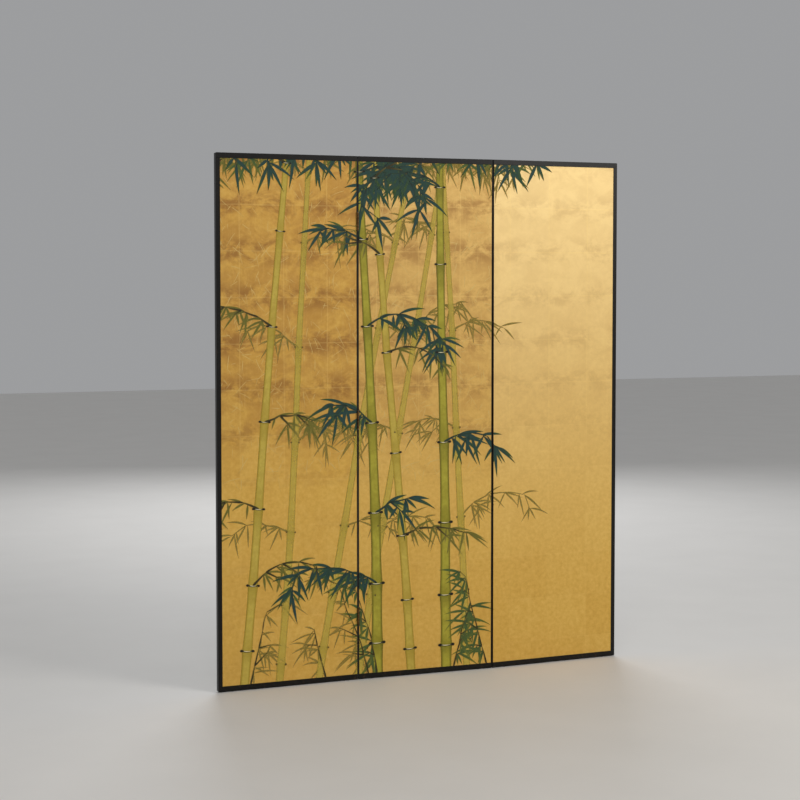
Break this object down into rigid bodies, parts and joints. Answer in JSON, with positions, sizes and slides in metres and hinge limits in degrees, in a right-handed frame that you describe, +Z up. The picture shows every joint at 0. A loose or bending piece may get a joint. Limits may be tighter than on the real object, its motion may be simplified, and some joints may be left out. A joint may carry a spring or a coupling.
{
  "type": "folding screen",
  "caption": "Free-standing folding screen of tall gilded leaves in a thin black lacquer frame, joined edge to edge by butt hinges that fold it into a flat stack.",
  "frame": {"origin": "on the floor, in the middle of the footprint of the open screen", "axes": "+X along the screen, to the right of someone facing the gilded side; -Y towards that person; +Z up"},
  "size_m": [1.501, 0.0635, 1.8],
  "materials": {
    "black_lacquer": "satin black lacquer on wood",
    "gold_leaf": "gold leaf laid in squares on a gesso board, lightly burnished",
    "back_covering": "thin board covered in black-brown paper",
    "core_softwood": "planed softwood",
    "dowel_beech": "fluted beech dowel",
    "glide_nylon": "dark nylon",
    "hinge_bronze": "dark bronzed brass",
    "hinge_pin_steel": "darkened steel",
    "screw_bronze": "dark bronzed brass"
  },
  "bodies": {
    "leaf_middle": {"left_fold_centre_screws": "screw_bronze", "left_fold_lower_centre_plate": "hinge_bronze", "left_fold_lower_pin": "hinge_pin_steel", "left_fold_upper_centre_plate": "hinge_bronze", "left_fold_upper_pin": "hinge_pin_steel", "left_fold_waist_centre_plate": "hinge_bronze", "left_fold_waist_pin": "hinge_pin_steel", "middle_back_panel": "back_covering", "middle_bottom_rail": "black_lacquer", "middle_core_left_stile": "core_softwood", "middle_core_rails": "core_softwood", "middle_core_right_stile": "core_softwood", "middle_dowels": "dowel_beech", "middle_gilded_panel": "gold_leaf", "middle_glides": "glide_nylon", "middle_left_fold_edge": "black_lacquer", "middle_right_fold_edge": "black_lacquer", "middle_top_rail": "black_lacquer", "right_fold_centre_screws": "screw_bronze", "right_fold_lower_centre_plate": "hinge_bronze", "right_fold_lower_pin": "hinge_pin_steel", "right_fold_upper_centre_plate": "hinge_bronze", "right_fold_upper_pin": "hinge_pin_steel", "right_fold_waist_centre_plate": "hinge_bronze", "right_fold_waist_pin": "hinge_pin_steel"},
    "leaf_left": {"left_back_panel": "back_covering", "left_bottom_rail": "black_lacquer", "left_core_left_stile": "core_softwood", "left_core_rails": "core_softwood", "left_core_right_stile": "core_softwood", "left_dowels": "dowel_beech", "left_fold_lower_wing_plate": "hinge_bronze", "left_fold_upper_wing_plate": "hinge_bronze", "left_fold_waist_wing_plate": "hinge_bronze", "left_fold_wing_screws": "screw_bronze", "left_gilded_panel": "gold_leaf", "left_glides": "glide_nylon", "left_outer_stile": "black_lacquer", "left_right_fold_edge": "black_lacquer", "left_top_rail": "black_lacquer"},
    "leaf_right": {"right_back_panel": "back_covering", "right_bottom_rail": "black_lacquer", "right_core_left_stile": "core_softwood", "right_core_rails": "core_softwood", "right_core_right_stile": "core_softwood", "right_dowels": "dowel_beech", "right_fold_lower_wing_plate": "hinge_bronze", "right_fold_upper_wing_plate": "hinge_bronze", "right_fold_waist_wing_plate": "hinge_bronze", "right_fold_wing_screws": "screw_bronze", "right_gilded_panel": "gold_leaf", "right_glides": "glide_nylon", "right_left_fold_edge": "black_lacquer", "right_outer_stile": "black_lacquer", "right_top_rail": "black_lacquer"}
  },
  "joints": [
    {"name": "left_fold", "type": "hinge", "parent": "leaf_middle", "child": "leaf_left", "pos_m": [-0.25051, -0.01898, 0], "axis": [0, 0, 1], "range_deg": [-1.9, 178.1]},
    {"name": "right_fold", "type": "hinge", "parent": "leaf_middle", "child": "leaf_right", "pos_m": [0.25049, 0.00852, 0], "axis": [0, 0, 1], "range_deg": [-3.1, 176.9]}
  ]
}
